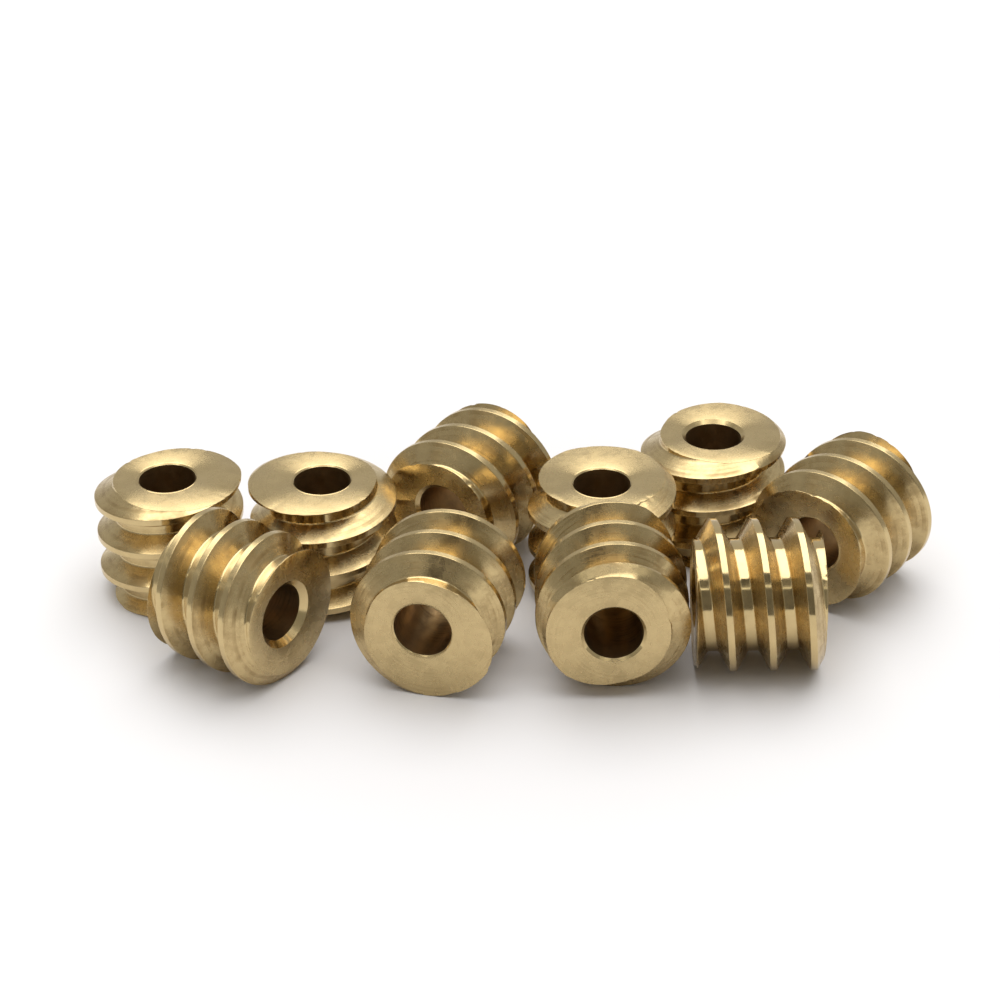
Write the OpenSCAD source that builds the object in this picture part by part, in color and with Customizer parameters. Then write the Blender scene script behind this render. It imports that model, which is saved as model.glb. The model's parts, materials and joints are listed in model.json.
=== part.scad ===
// Set of ten identical one-piece brass worms for small worm gear drives.
// Four stand on end and six lie on their sides, each a separate loose part.
// Lengths are in millimetres and angles in degrees. The group stands on z = 0.

/* [Thread] */
// Axial module: the axial pitch divided by pi
axial_module = 0.5; // [0.4:0.05:0.55]
// Diameter quotient: the reference diameter in modules
diameter_quotient = 10; // [8:0.5:10]
// Depth of the groove below the crest
groove_depth = 0.8; // [0.4:0.05:0.9]
// Width of the flat crest, measured along the axis
crest_w = 0.25; // [0.15:0.01:0.3]
// Width of the flat groove bottom, measured along the axis
groove_floor_w = 0.42; // [0.2:0.01:0.5]

/* [Blank] */
// Length of a worm between its flat ends
worm_len = 5; // [4:0.1:5]
// Diameter of the through bore
bore_d = 2.3; // [1.5:0.1:2.5]
// Nominal width of the countersink at the faced end
faced_countersink_w = 0.15; // [0.05:0.01:0.25]
// Width of the light countersink at the parted end
parted_countersink_w = 0.05; // [0.02:0.01:0.1]
// Nominal width of the 45 degree chamfer round the faced end's thread
outer_chamfer_w = 0.25; // [0.1:0.01:0.4]

/* [Hidden] */

pitch = PI * axial_module;
outer_r = axial_module * (diameter_quotient + 2) / 2;
root_r = outer_r - groove_depth;
bore_r = bore_d / 2;
// Flat facets per turn of the thread
steps = 60;
// Turns modelled before the ends are cut: an even number that passes both ends
turns = 2 * ceil(worm_len / pitch / 2) + 2;
// Overrun that keeps a cut clear of the face it ends on
eps = 0.02;
brass = [0.79, 0.68, 0.44];

// One row per worm: x and y of its middle, whether it lies down, the heading of
// its near end, the turn of its thread and whether its near or top end is the faced one,
// then the shares of the nominal countersink and chamfer that its faced end has,
// because those edges are broken by hand.
places = [
    [-14.00,  1.15, false,    0, 137, false, 1.0, 1.0],
    [-10.70, -4.50, true,   -34, 132, true,  1.6, 0.8],
    [ -7.70,  1.05, false,    0,   3, false, 1.0, 1.0],
    [  3.60,  0.90, false,    0, 241, false, 1.0, 1.0],
    [ -2.75, -4.55, true,  -102,  90, false, 1.0, 1.0],
    [ -1.70,  3.95, true,  -120,  29, true,  1.0, 1.0],
    [  4.00, -4.70, true,   -88, 299, true,  0.7, 1.6],
    [  8.20,  4.90, false,    0, 175, true,  1.0, 1.0],
    [  9.70, -4.25, true,     2, 107, false, 1.0, 1.0],
    [ 13.50,  1.55, true,  -125,  16, false, 1.0, 1.0]
];

function is_lying(place) = place[2];
function heading(place) = place[3];
function thread_turn(place) = place[4];
function near_end_faced(place) = place[5];
function countersink_w(place) = place[6] * faced_countersink_w;
function chamfer_w(place) = place[7] * outer_chamfer_w;

// The thread's outline over one pitch as [height, radius] points, from the middle of the crest.
thread_outline = [
    [-crest_w / 2, outer_r],
    [crest_w / 2, outer_r],
    [(pitch - groove_floor_w) / 2, root_r],
    [(pitch + groove_floor_w) / 2, root_r]
];
outline_points = len(thread_outline);

// The outline at one angular step, repeated along the axis.
function thread_column(step) = [
    for (turn = [0 : turns - 1], corner = thread_outline)
        let (angle = 360 * step / steps,
             height = pitch * (step / steps + turn - turns / 2) + corner[0])
        [corner[1] * cos(angle), corner[1] * sin(angle), height]
];

// Right-hand threaded bar, longer than the worm, with helical caps at both ends.
module threaded_bar() {
    column = outline_points * turns;
    last_turn = outline_points;
    low_tip = steps * column;
    high_tip = low_tip + 1;
    reach = pitch * (turns / 2 + 2);
    points = concat(
        [for (step = [0 : steps - 1]) each thread_column(step)],
        [[0, 0, -reach], [0, 0, reach]]
    );
    // Index of a point, where going once round moves up by one turn.
    function at(step, row) =
        step < steps ? step * column + row : row + last_turn;
    rows = column - last_turn - 1;
    wall = [
        for (step = [0 : steps - 1], row = [0 : rows - 1])
            each [
                [at(step, row), at(step + 1, row + 1), at(step + 1, row)],
                [at(step, row), at(step, row + 1), at(step + 1, row + 1)]
            ]
    ];
    low_cap = concat(
        [for (step = [0 : steps - 1]) [low_tip, at(step, 0), at(step + 1, 0)]],
        [for (row = [0 : last_turn - 1]) [low_tip, row + 1, row]]
    );
    high_cap = concat(
        [for (step = [0 : steps - 1]) [high_tip, at(step + 1, rows), at(step, rows)]],
        [for (row = [0 : last_turn - 1]) [high_tip, rows + row, rows + row + 1]]
    );
    polyhedron(points = points, faces = concat(wall, low_cap, high_cap));
}

// A worm with its axis on Z, its middle at the origin and its faced end up.
module worm_body(turn, countersink_w, chamfer_w) {
    half = worm_len / 2;
    difference() {
        intersection() {
            rotate([0, 0, turn]) threaded_bar();
            rotate_extrude($fn = 96) polygon([
                [0, -half],
                [outer_r + 1, -half],
                [outer_r + 1, half - chamfer_w - 1],
                [outer_r - chamfer_w, half],
                [0, half]
            ]);
        }
        cylinder(h = worm_len + 1, r = bore_r, center = true, $fn = 64);
        bore_countersink(countersink_w);
        mirror([0, 0, 1]) bore_countersink(parted_countersink_w);
    }
}

// Cone that breaks the bore's upper edge at 45 degrees.
module bore_countersink(cone_w) {
    translate([0, 0, worm_len / 2 - cone_w])
        cylinder(h = cone_w + eps, r1 = bore_r, r2 = bore_r + cone_w + eps, $fn = 64);
}

// Turns a worm end over end, which leaves a right-hand thread right-handed.
module end_over_end() {
    rotate([180, 0, 0]) children();
}

// Stands a worm on its end or lays it on its side with its near end along the heading.
module rest_on_ground(place) {
    if (is_lying(place))
        translate([place[0], place[1], outer_r])
            rotate([90, 0, 90 + heading(place)]) children();
    else
        translate([place[0], place[1], worm_len / 2]) children();
}

module worm(number) {
    place = places[number - 1];
    turn = thread_turn(place);
    color(brass)
        rest_on_ground(place)
            if (near_end_faced(place))
                worm_body(turn, countersink_w(place), chamfer_w(place));
            else
                end_over_end()
                    worm_body(-turn, countersink_w(place), chamfer_w(place));
}

worm(1);  // worm_1
worm(2);  // worm_2
worm(3);  // worm_3
worm(4);  // worm_4
worm(5);  // worm_5
worm(6);  // worm_6
worm(7);  // worm_7
worm(8);  // worm_8
worm(9);  // worm_9
worm(10);  // worm_10
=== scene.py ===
"""Ten loose brass worms on a pale floor: the smooth, finished surfaces over the CAD frame."""

import json
import math
from collections import namedtuple

import bmesh
import bpy
import numpy as np
from mathutils import Matrix, Vector, noise


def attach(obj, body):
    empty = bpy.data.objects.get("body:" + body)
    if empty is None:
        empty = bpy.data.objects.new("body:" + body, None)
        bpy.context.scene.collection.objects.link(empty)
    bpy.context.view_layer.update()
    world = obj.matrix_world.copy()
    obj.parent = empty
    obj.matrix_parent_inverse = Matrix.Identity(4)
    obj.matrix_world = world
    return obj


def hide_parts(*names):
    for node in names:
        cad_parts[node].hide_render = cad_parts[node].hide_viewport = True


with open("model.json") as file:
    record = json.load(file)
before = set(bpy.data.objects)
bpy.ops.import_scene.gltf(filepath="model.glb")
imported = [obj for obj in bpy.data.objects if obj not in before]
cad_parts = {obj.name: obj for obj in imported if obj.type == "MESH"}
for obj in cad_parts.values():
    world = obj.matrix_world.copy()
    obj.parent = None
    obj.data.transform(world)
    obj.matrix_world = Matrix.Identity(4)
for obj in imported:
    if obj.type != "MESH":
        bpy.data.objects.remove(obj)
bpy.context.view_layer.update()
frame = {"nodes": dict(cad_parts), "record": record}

# Blender works in metres, so every length below is in metres too.
MM = 0.001

# Shape of one worm, as part.scad has it.
AXIAL_MODULE = 0.5 * MM
PITCH = math.pi * AXIAL_MODULE
OUTER_R = 3.0 * MM
ROOT_R = 2.2 * MM
CREST_W = 0.25 * MM
GROOVE_FLOOR_W = 0.42 * MM
HALF_LEN = 2.5 * MM
BORE_R = 1.15 * MM
PARTED_COUNTERSINK = 0.05 * MM

# Rounding that the CAD leaves out.
SKIN = 0.004 * MM  # keeps the round thread inside the faceted one's box
CREST_ROUND = 0.022 * MM
ROOT_ROUND = 0.09 * MM
EDGE_BREAK = 0.018 * MM  # width and height of the two facets round each face
BREAK_KNEE = 0.3 * EDGE_BREAK  # place of the edge between those facets

# Ends of the bore. The lip is a fine bevel between the face and the countersink.
CORE_R = ROOT_R - 0.25 * MM  # where the turned core meets the thread's faces
LIP_W = 0.01 * MM
LIP_DEPTH = 0.003 * MM
BORE_ROW_DEPTH = 2 * HALF_LEN / 3  # a row of points part-way down the bore
BURR = 0.014 * MM  # depth of the dish that leaves a burr standing round a parted bore
BURR_DISH = ((6, 0), (4.5, 0.5), (3, 1))  # distance from the lip and depth, in BURR

# Dents along the outer edges of the faces.
WEAR_REACH = 0.05 * MM  # how far the wear reaches down and inwards
DENT_DEPTH = 0.08 * MM  # for one unit of noise
DENT_LEVEL = 0.2  # noise up to this leaves no dent
DENT_CIRCLE = 9  # radius in noise space of the circle that the dents are read along
DENT_SEED_STEP = 3.7  # distance in noise space from one worm to the next

# Fineness of the meshes.
COLUMNS = 180  # steps round the thread and round the bore
ARC_STEPS = 3  # steps in each rounded corner
HOLD_SHARES = (0.05, 0.5, 0.95)  # rows on each flat, close to its ends, that keep it flat
SMOOTH_BELOW = math.radians(26)  # edges that bend more than this stay crisp
SPLIT_SLACK = 0.0005 * MM  # an edge that ends this close to a limit isn't split

# Where each finish starts and stops.
BORE_SLACK = 0.002 * MM
BORE_MOUTH = 0.06 * MM  # depth of the mouth, which has the burnished finish
BURNISH_SLACK = 0.02 * MM

# Measuring of the CAD worms.
MEASURE_SLACK = 0.001 * MM
END_MARGIN = 0.8 * MM  # keeps the cut ends out of the measured crests

# Places of the finishes in FINISHES.
THREAD, FACE, BORE, BURNISHED = range(4)

# What tells one worm from another: angle of its thread at mid length, whether its near
# or top end is the faced one, and the widths of the faced end's countersink and chamfer.
Variant = namedtuple("Variant", "turn faced_up countersink chamfer")


# ---------------------------------------------------------------- thread


def rounded_corner(before, corner, after, radius):
    """Points of the arc that rounds one corner of the thread's outline."""
    into = (before - corner).normalized()
    out = (after - corner).normalized()
    half_angle = into.angle(out) / 2
    reach = radius / math.tan(half_angle)
    middle = corner + (into + out).normalized() * (radius / math.sin(half_angle))
    start = corner + into * reach - middle
    end = corner + out * reach - middle
    points = []
    for step in range(ARC_STEPS + 1):
        along = start.lerp(end, step / ARC_STEPS)
        points.append(middle + along.normalized() * radius)
    return points


def thread_outline():
    """One pitch of the thread as (height, radius) points, corners rounded."""
    crest_r = OUTER_R - SKIN
    flank_foot = (PITCH - GROOVE_FLOOR_W) / 2
    corners = [
        (Vector((-CREST_W / 2, crest_r)), CREST_ROUND),
        (Vector((CREST_W / 2, crest_r)), CREST_ROUND),
        (Vector((flank_foot, ROOT_R)), ROOT_ROUND),
        (Vector((PITCH - flank_foot, ROOT_R)), ROOT_ROUND),
    ]
    shift = Vector((PITCH, 0))
    before = [corners[-1][0] - shift] + [corner for corner, _ in corners[:-1]]
    after = [corner for corner, _ in corners[1:]] + [corners[0][0] + shift]
    arcs = [
        rounded_corner(point_before, corner, point_after, radius)
        for point_before, (corner, radius), point_after in zip(before, corners, after)
    ]
    next_starts = [arc[0] for arc in arcs[1:]] + [arcs[0][0] + shift]
    points = []
    for arc, next_start in zip(arcs, next_starts):
        points += arc
        points += [arc[-1].lerp(next_start, share) for share in HOLD_SHARES]
    return points


def threaded_bar(bm, turn):
    """A right-hand thread about Z, longer than the worm, open at both ends."""
    outline = thread_outline()
    first = -math.ceil(HALF_LEN / PITCH) - 2
    rows = [(turns, point) for turns in range(first, -first + 1) for point in outline]
    grid = []
    for column in range(COLUMNS):
        share = column / COLUMNS
        angle = turn + 2 * math.pi * share
        direction = Vector((math.cos(angle), math.sin(angle), 0))
        grid.append([
            bm.verts.new(direction * point.y + Vector((0, 0, PITCH * (share + turns) + point.x)))
            for turns, point in rows
        ])
    one_turn = len(outline)
    for column in range(COLUMNS):
        here = grid[column]
        there = grid[column + 1] if column + 1 < COLUMNS else grid[0][one_turn:]
        for row in range(len(there) - 1):
            bm.faces.new((here[row], there[row], there[row + 1], here[row + 1]))


def turn_down(bm, limit):
    """Turns the thread down to the radius limit(z), with a clean edge where that starts."""
    excess = {vert: vert.co.xy.length - limit(vert.co.z) for vert in bm.verts}
    fresh = []
    for edge in list(bm.edges):
        a, b = (excess[vert] for vert in edge.verts)
        if a * b < 0 and min(abs(a), abs(b)) > SPLIT_SLACK:
            _, vert = bmesh.utils.edge_split(edge, edge.verts[0], a / (a - b))
            excess[vert] = 0.0
            fresh.append(vert)
    bmesh.ops.connect_verts(bm, verts=fresh)
    for vert, over in excess.items():
        if over > 0:
            vert.co.xy *= 1 - over / vert.co.xy.length


# ---------------------------------------------------------------- ends and bore


def cut_end(bm, side):
    """Cuts one end flat just short of the face, and returns the open edge."""
    height = side * (HALF_LEN - EDGE_BREAK)
    cut = bmesh.ops.bisect_plane(
        bm,
        geom=bm.verts[:] + bm.edges[:] + bm.faces[:],
        plane_co=(0, 0, height),
        plane_no=(0, 0, side),
        clear_outer=True,
    )
    return [item for item in cut["geom_cut"] if isinstance(item, bmesh.types.BMEdge)]


def extend(bm, rim, inward, height):
    """Grows a wall from an open rim to a new rim that lies inward, at a height."""
    grown = bmesh.ops.extrude_edge_only(bm, edges=rim)["geom"]
    for item in grown:
        if isinstance(item, bmesh.types.BMVert):
            item.co.xy *= 1 - inward / item.co.xy.length
            item.co.z = height
    return [item for item in grown
            if isinstance(item, bmesh.types.BMEdge) and item.is_boundary]


def mouth(sink, side):
    """Outline of one end of the bore as (radius, height) points, from the face inwards."""
    lip_r = BORE_R + sink
    outline = [(CORE_R, 0)]
    if sink <= PARTED_COUNTERSINK:
        outline += [(lip_r + out * BURR, down * BURR) for out, down in BURR_DISH]
    outline += [(lip_r + LIP_W, 0), (lip_r, LIP_DEPTH), (BORE_R, sink)]
    outline += [(BORE_R, BORE_ROW_DEPTH)]
    return [(radius, side * (HALF_LEN - depth)) for radius, depth in outline]


def ring_edges(bm, ring):
    """The edges that join a ring of points."""
    return [bm.edges.get((ring[column - 1], ring[column])) for column in range(COLUMNS)]


def bore_core(bm, low_sink, high_sink):
    """The bore with its countersinks and the inner part of both faces, as one turned skin."""
    outline = mouth(low_sink, -1) + mouth(high_sink, 1)[::-1]
    rings = []
    for radius, height in outline:
        ring = []
        for column in range(COLUMNS):
            angle = 2 * math.pi * column / COLUMNS
            place = (radius * math.cos(angle), radius * math.sin(angle), height)
            ring.append(bm.verts.new(place))
        rings.append(ring)
    for lower, upper in zip(rings, rings[1:]):
        for column in range(COLUMNS):
            after = (column + 1) % COLUMNS
            bm.faces.new((lower[column], upper[column], upper[after], lower[after]))
    return ring_edges(bm, rings[0]), ring_edges(bm, rings[-1])


def wear_edges(bm, seed):
    """Small dents along the outer edges of both faces."""
    for vert in bm.verts:
        depth = HALF_LEN - abs(vert.co.z)
        radius = vert.co.xy.length
        if depth > WEAR_REACH or radius < ROOT_R - WEAR_REACH:
            continue
        angle = math.atan2(vert.co.y, vert.co.x)
        direction = Vector((math.cos(angle), math.sin(angle), 0))
        where = direction * DENT_CIRCLE + Vector((0, 0, seed))
        dent = max(0.0, noise.noise(where) - DENT_LEVEL) * DENT_DEPTH
        vert.co.xy *= 1 - dent / radius


def finish_of(face):
    """Place in FINISHES of the finish that a face of the worm has."""
    middle = face.calc_center_median()
    radius = middle.xy.length
    if radius < BORE_R + BORE_SLACK and abs(middle.z) < HALF_LEN - BORE_MOUTH:
        return BORE
    if abs(middle.z) > HALF_LEN - EDGE_BREAK / 2:
        return FACE
    if radius > OUTER_R - BURNISH_SLACK or radius < ROOT_R + BURNISH_SLACK:
        return BURNISHED
    return THREAD


def worm_mesh(name, variant, seed):
    """The finished mesh of one worm, its axis on Z and its near or top end up."""
    bm = bmesh.new()
    threaded_bar(bm, variant.turn)
    faced_side = 1 if variant.faced_up else -1
    turn_down(bm, lambda z: OUTER_R - variant.chamfer + HALF_LEN - faced_side * z)
    rims = []
    for side in (-1, 1):
        rim = cut_end(bm, side)
        rim = extend(bm, rim, BREAK_KNEE, side * (HALF_LEN - BREAK_KNEE))
        rims.append(extend(bm, rim, EDGE_BREAK - BREAK_KNEE, side * HALF_LEN))
    low_sink, high_sink = (PARTED_COUNTERSINK, variant.countersink)[::faced_side]
    inner_rims = bore_core(bm, low_sink, high_sink)
    for rim, inner_rim in zip(rims, inner_rims):
        bmesh.ops.bridge_loops(bm, edges=rim + inner_rim)
    wear_edges(bm, seed)
    bmesh.ops.recalc_face_normals(bm, faces=bm.faces)
    for face in bm.faces:
        face.smooth = True
        face.material_index = finish_of(face)
    mesh = bpy.data.meshes.new(name)
    bm.to_mesh(mesh)
    bm.free()
    mesh.set_sharp_from_angle(angle=SMOOTH_BELOW)
    return mesh


# ---------------------------------------------------------------- shader nodes


def link(tree, source, target):
    """Joins an output socket to an input socket."""
    tree.links.new(source, target)


def maths(tree, operation, a, b=None):
    """A math node; its inputs are sockets or numbers."""
    node = tree.nodes.new("ShaderNodeMath")
    node.operation = operation
    for socket, value in zip(node.inputs, (a, b)):
        if isinstance(value, bpy.types.NodeSocket):
            link(tree, value, socket)
        elif value is not None:
            socket.default_value = value
    return node.outputs[0]


def add(tree, a, b):
    """The sum of two sockets or numbers."""
    return maths(tree, "ADD", a, b)


def multiply(tree, a, b):
    """The product of two sockets or numbers."""
    return maths(tree, "MULTIPLY", a, b)


def grain(tree, vector, scale, detail=2.0, rough=0.5):
    """Noise over the surface, from 0 to 1, about 1/scale metres across."""
    node = tree.nodes.new("ShaderNodeTexNoise")
    node.inputs["Scale"].default_value = scale
    node.inputs["Detail"].default_value = detail
    node.inputs["Roughness"].default_value = rough
    link(tree, vector, node.inputs["Vector"])
    return node.outputs["Fac"]


def lines(tree, position, scale, detail):
    """Noise along one number, from 0 to 1: fine parallel tool marks."""
    node = tree.nodes.new("ShaderNodeTexNoise")
    node.noise_dimensions = "1D"
    node.inputs["Scale"].default_value = scale
    node.inputs["Detail"].default_value = detail
    link(tree, position, node.inputs["W"])
    return node.outputs["Fac"]


def ramp(tree, value, low, high, to_low=0.0, to_high=1.0):
    """Goes from to_low to to_high as a value goes from low to high, and stops there."""
    node = tree.nodes.new("ShaderNodeMapRange")
    node.inputs["From Min"].default_value = low
    node.inputs["From Max"].default_value = high
    node.inputs["To Min"].default_value = to_low
    node.inputs["To Max"].default_value = to_high
    link(tree, value, node.inputs["Value"])
    return node.outputs[0]


def band(tree, value, low, high, soft):
    """1 where a value lies between low and high, falling to 0 over soft at each side."""
    rising = ramp(tree, value, low - soft, low + soft)
    falling = ramp(tree, value, high - soft, high + soft, to_low=1.0, to_high=0.0)
    return multiply(tree, rising, falling)


def mix_colour(tree, share, a, b):
    """Colour a where share is 0 and b where it is 1; both are sockets or RGB values."""
    node = tree.nodes.new("ShaderNodeMix")
    node.data_type = "RGBA"
    link(tree, share, node.inputs["Factor"])
    for name, value in (("A", a), ("B", b)):
        socket = [item for item in node.inputs if item.name == name and item.type == "RGBA"][0]
        if isinstance(value, bpy.types.NodeSocket):
            link(tree, value, socket)
        else:
            socket.default_value = (*value, 1)
    return [item for item in node.outputs if item.type == "RGBA"][0]


# ---------------------------------------------------------------- brass


def across_marks(tree, place):
    """A distance that grows outwards and along the thread, across the tool marks."""
    split = tree.nodes.new("ShaderNodeSeparateXYZ")
    link(tree, place, split.inputs[0])
    x, y, z = split.outputs
    radius = maths(tree, "SQRT", add(tree, multiply(tree, x, x), multiply(tree, y, y)))
    turns = maths(tree, "DIVIDE", maths(tree, "ARCTAN2", y, x), 2 * math.pi)
    pitches = maths(tree, "DIVIDE", z, PITCH)
    from_helix = maths(tree, "FRACT", maths(tree, "SUBTRACT", pitches, turns))
    outwards = multiply(tree, radius, 1.3)
    return add(tree, outwards, multiply(tree, from_helix, PITCH))


def brass_stain(tree, place, along, blotch):
    """Share of tarnish: soft clouds, dark specks and streaks round the axis in patches."""
    cloud = ramp(tree, grain(tree, place, scale=1300, detail=4.0, rough=0.65), 0.40, 0.68)
    speck = ramp(tree, grain(tree, place, scale=4200, detail=3.0, rough=0.6), 0.52, 0.80)
    streak = ramp(tree, lines(tree, along, scale=9000, detail=3.0), 0.45, 0.72)
    patch = ramp(tree, grain(tree, place, scale=700), 0.40, 0.62)
    streak = multiply(tree, streak, patch)
    fine = add(tree, multiply(tree, speck, 0.25), multiply(tree, streak, 0.55))
    return multiply(tree, add(tree, multiply(tree, cloud, 0.40), fine), blotch)


def brass_roughness(tree, place, stain, roughness):
    """Varies a little about the finish's roughness, and is higher where the metal is stained."""
    uneven = grain(tree, place, scale=2400)
    base = ramp(tree, uneven, 0.3, 0.7, to_low=roughness - 0.04, to_high=roughness + 0.05)
    return add(tree, multiply(tree, stain, 0.25), base)


def brass_relief(tree, place, along, marks, mottle):
    """Normal for tool marks round the axis and a fine mottle, of the given heights."""
    turned = multiply(tree, lines(tree, along, scale=16000, detail=3.0), marks)
    pebbles = multiply(tree, grain(tree, place, scale=6500, detail=3.0, rough=0.6), mottle)
    bump = tree.nodes.new("ShaderNodeBump")
    bump.inputs["Distance"].default_value = 1.0
    bump.inputs["Strength"].default_value = 1.0
    link(tree, add(tree, turned, pebbles), bump.inputs["Height"])
    return bump.outputs[0]


def brass(name, bright, tarnish, roughness, blotch, anisotropy, marks, mottle):
    """Cut brass. marks is the height of its tool marks, and mottle that of its grain."""
    material = bpy.data.materials.new(name)
    material.use_nodes = True
    tree = material.node_tree
    shader = tree.nodes["Principled BSDF"]
    shader.inputs["Metallic"].default_value = 1.0
    shader.inputs["Anisotropic"].default_value = anisotropy
    shader.inputs["Anisotropic Rotation"].default_value = 0.25
    tangent = tree.nodes.new("ShaderNodeTangent")
    tangent.direction_type = "RADIAL"
    tangent.axis = "Z"
    link(tree, tangent.outputs[0], shader.inputs["Tangent"])

    place = tree.nodes.new("ShaderNodeTexCoord").outputs["Object"]
    along = across_marks(tree, place)
    stain = brass_stain(tree, place, along, blotch)
    uneven = brass_roughness(tree, place, stain, roughness)
    relief = brass_relief(tree, place, along, marks, mottle)
    link(tree, mix_colour(tree, stain, bright, tarnish), shader.inputs["Base Color"])
    link(tree, uneven, shader.inputs["Roughness"])
    link(tree, relief, shader.inputs["Normal"])
    return material


BRIGHT = (0.61, 0.466, 0.236)
TARNISH = (0.25, 0.155, 0.06)
# Painted shade: the bore's brass and its tarnish are darker and browner than those outside, for
# the shade deep in the hole.
SHADED_BORE_BRASS = (0.42, 0.28, 0.135)
SHADED_BORE_TARNISH = (0.16, 0.10, 0.05)
FINISHES = [
    brass("brass_thread", BRIGHT, TARNISH, roughness=0.21, blotch=0.85, anisotropy=0.8,
          marks=0.0011 * MM, mottle=0.0019 * MM),
    brass("brass_turned_face", BRIGHT, TARNISH, roughness=0.25, blotch=0.30, anisotropy=1.0,
          marks=0.0003 * MM, mottle=0.0002 * MM),
    brass("brass_bore", SHADED_BORE_BRASS, SHADED_BORE_TARNISH, roughness=0.34, blotch=0.8, anisotropy=0.3,
          marks=0.002 * MM, mottle=0.002 * MM),
    brass("brass_burnished", BRIGHT, TARNISH, roughness=0.17, blotch=0.2, anisotropy=1.0,
          marks=0.0002 * MM, mottle=0.0002 * MM),
]


# ---------------------------------------------------------------- worms


def worm_placement(mount):
    """Placement of a worm: Z along its bore to the near or top end.

    Y points up if the worm lies on its side, and along the frame's Y if it stands.
    """
    axis = Vector(mount["axis"]).normalized()
    up = Vector((0, 0, 1)) if abs(axis.z) < 0.5 else Vector((0, 1, 0))
    across = up.cross(axis).normalized()
    turned = Matrix((across, axis.cross(across), axis)).transposed().to_4x4()
    return Matrix.Translation(Vector(mount["pos_m"])) @ turned


def read_variant(cad, placement):
    """Measures on the CAD worm what tells it from the others."""
    back = np.array(placement.inverted())
    points = np.array([vert.co for vert in cad.data.vertices])
    local = points @ back[:3, :3].T + back[:3, 3]
    radius = np.hypot(local[:, 0], local[:, 1])
    height = local[:, 2]
    crest = (radius > OUTER_R - MEASURE_SLACK) & (abs(height) < HALF_LEN - END_MARGIN)
    angle = np.arctan2(local[crest, 1], local[crest, 0]) - 2 * np.pi * height[crest] / PITCH
    turn = math.atan2(np.sin(angle).mean(), np.cos(angle).mean())
    low_lip, high_lip = (
        radius[abs(height - side * HALF_LEN) < MEASURE_SLACK].min() for side in (-1, 1))
    faced_up = bool(high_lip > low_lip)
    depth = HALF_LEN - (height if faced_up else -height)
    chamfer = OUTER_R - (radius - depth).max()
    return Variant(turn, faced_up, max(low_lip, high_lip) - BORE_R, chamfer)


def add_worm(node, body, mount, seed):
    """Puts a finished worm in the place of a CAD node."""
    placement = worm_placement(mount)
    variant = read_variant(frame["nodes"][node], placement)
    mesh = worm_mesh(node + "_finished", variant, seed)
    for material in FINISHES:
        mesh.materials.append(material)
    worm = bpy.data.objects.new(node + "_finished", mesh)
    bpy.context.scene.collection.objects.link(worm)
    worm.matrix_world = placement
    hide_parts(node)
    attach(worm, body)


# ---------------------------------------------------------------- studio


def softbox(name, size, at, look_at, watts):
    """A rectangular soft light."""
    light = bpy.data.lights.new(name, "AREA")
    light.shape = "RECTANGLE"
    light.size, light.size_y = size
    light.energy = watts
    lamp = bpy.data.objects.new(name, light)
    bpy.context.scene.collection.objects.link(lamp)
    lamp.location = at
    aim = Vector(look_at) - Vector(at)
    lamp.rotation_euler = aim.to_track_quat("-Z", "Y").to_euler()


def floor(side):
    """A square pale floor, with painted shade that makes it slightly darker near the worms."""
    bm = bmesh.new()
    bmesh.ops.create_grid(bm, x_segments=1, y_segments=1, size=side / 2)
    mesh = bpy.data.meshes.new("floor")
    bm.to_mesh(mesh)
    bm.free()
    plane = bpy.data.objects.new("floor", mesh)
    bpy.context.scene.collection.objects.link(plane)
    material = bpy.data.materials.new("pale_floor")
    material.use_nodes = True
    tree = material.node_tree
    shader = tree.nodes["Principled BSDF"]
    away = tree.nodes.new("ShaderNodeVectorMath")
    away.operation = "LENGTH"
    link(tree, tree.nodes.new("ShaderNodeTexCoord").outputs["Object"], away.inputs[0])
    # Painted shade: the floor's colour is darker within 12 mm of the middle and turns pale again
    # by 34 mm.
    outward = ramp(tree, away.outputs["Value"], low=12 * MM, high=34 * MM)
    painted_shade_colour = (0.75, 0.735, 0.74)
    far_colour = (0.86, 0.855, 0.86)
    link(tree, mix_colour(tree, outward, painted_shade_colour, far_colour), shader.inputs["Base Color"])
    shader.inputs["Roughness"].default_value = 0.45
    shader.inputs["Specular IOR Level"].default_value = 0.3
    mesh.materials.append(material)


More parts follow.
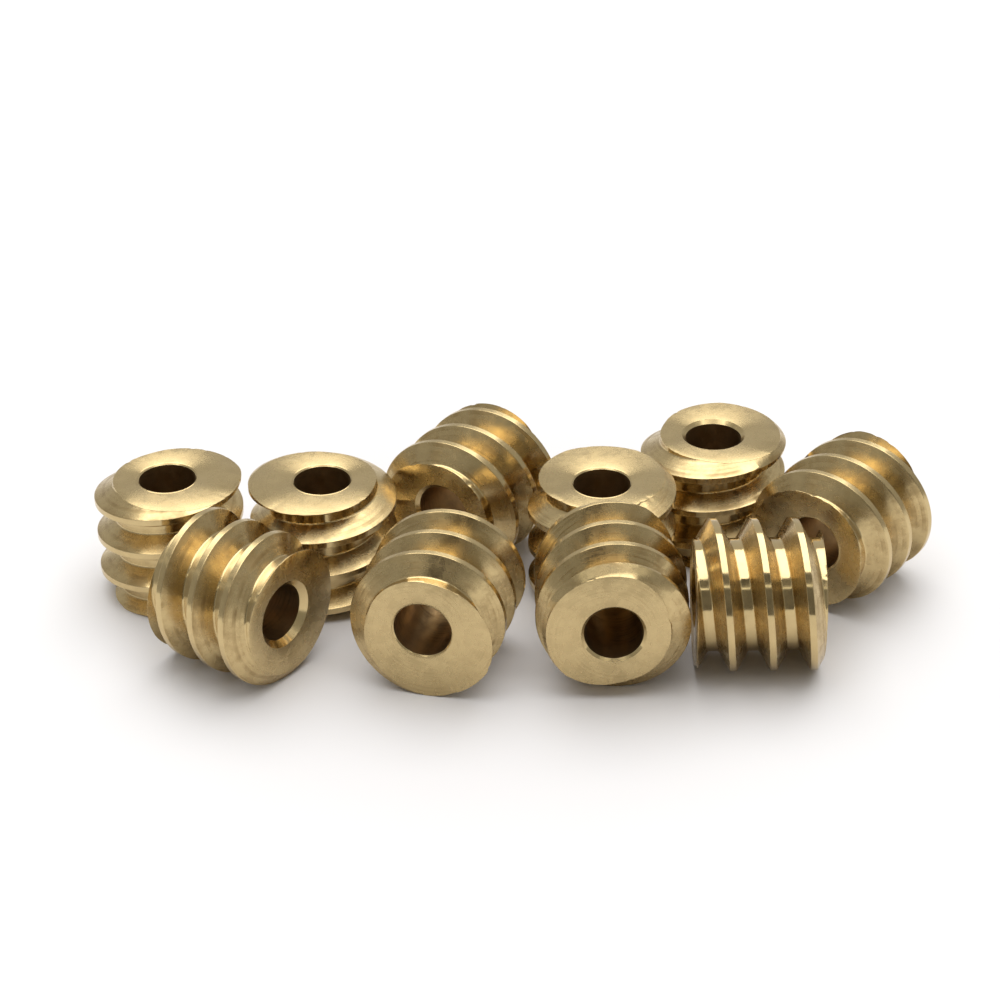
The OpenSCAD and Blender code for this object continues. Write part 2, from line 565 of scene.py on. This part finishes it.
def surroundings():
    """A room: pale behind the worms, dimmer on the camera's side, with a dark
    figure behind the camera and a thin strip light across it."""
    front_wall = (0.32, 0.32, 0.30)
    back_wall = (0.63, 0.63, 0.62)
    side_walls = (0.42, 0.42, 0.41)
    dark_figure = (0.07, 0.06, 0.05)
    strip_light = (1.7, 1.7, 1.6)
    backdrop = (0.9, 0.9, 0.9)  # what the camera sees itself

    world = bpy.data.worlds.new("room")
    world.use_nodes = True
    tree = world.node_tree
    direction = tree.nodes.new("ShaderNodeTexCoord").outputs["Generated"]
    split = tree.nodes.new("ShaderNodeSeparateXYZ")
    link(tree, direction, split.inputs[0])
    x, y, z = split.outputs
    to_back = ramp(tree, y, low=-0.15, high=0.5)
    to_side = ramp(tree, maths(tree, "ABSOLUTE", x), low=0.35, high=0.9)
    in_front = ramp(tree, y, low=0.0, high=-0.2)
    figure_width = band(tree, x, low=-0.20, high=0.16, soft=0.03)
    figure_height = band(tree, z, low=-0.1, high=0.93, soft=0.02)
    figure = multiply(tree, in_front, multiply(tree, figure_width, figure_height))
    strip = multiply(tree, in_front, band(tree, z, low=0.665, high=0.705, soft=0.006))

    walls = mix_colour(tree, to_back, front_wall, back_wall)
    walls = mix_colour(tree, to_side, walls, side_walls)
    walls = mix_colour(tree, figure, walls, dark_figure)
    walls = mix_colour(tree, strip, walls, strip_light)
    seen = tree.nodes.new("ShaderNodeLightPath").outputs["Is Camera Ray"]
    background = tree.nodes["Background"]
    link(tree, mix_colour(tree, seen, walls, backdrop), background.inputs["Color"])
    bpy.context.scene.world = world


def place_camera(at, heading, dip, roll):
    """The photograph's view. The angles are in degrees, and heading 0 looks along +Y."""
    camera = bpy.data.cameras.new("camera")
    camera.sensor_width = 36
    camera.lens = 105.1
    camera.clip_start = 5 * MM
    camera_object = bpy.data.objects.new("camera", camera)
    bpy.context.scene.collection.objects.link(camera_object)
    camera_object.matrix_world = (
        Matrix.Translation(at)
        @ Matrix.Rotation(math.radians(heading), 4, "Z")
        @ Matrix.Rotation(math.radians(90 - dip), 4, "X")
        @ Matrix.Rotation(math.radians(roll), 4, "Z"))
    bpy.context.scene.camera = camera_object


# ---------------------------------------------------------------- scene

mounts = {mount["name"]: mount for mount in frame["record"]["mounts"]}
body_of = {
    node: body
    for body, members in frame["record"]["behaviour"]["bodies"].items()
    for node in members
}
for number, node in enumerate(sorted(frame["nodes"])):
    add_worm(node, body_of[node], mounts[node + "_bore"], DENT_SEED_STEP * number)

surroundings()
floor(side=3.0)
softbox("overhead_softbox", size=(1.2, 1.5), at=(0, 0.27, 1.0), look_at=(0, 0.27, 0), watts=15)
place_camera(at=(3.6 * MM, -100.65 * MM, 64.2 * MM), heading=2.32, dip=30.57, roll=-0.95)
bpy.context.scene.view_settings.view_transform = "Standard"
bpy.context.scene.view_settings.look = "None"
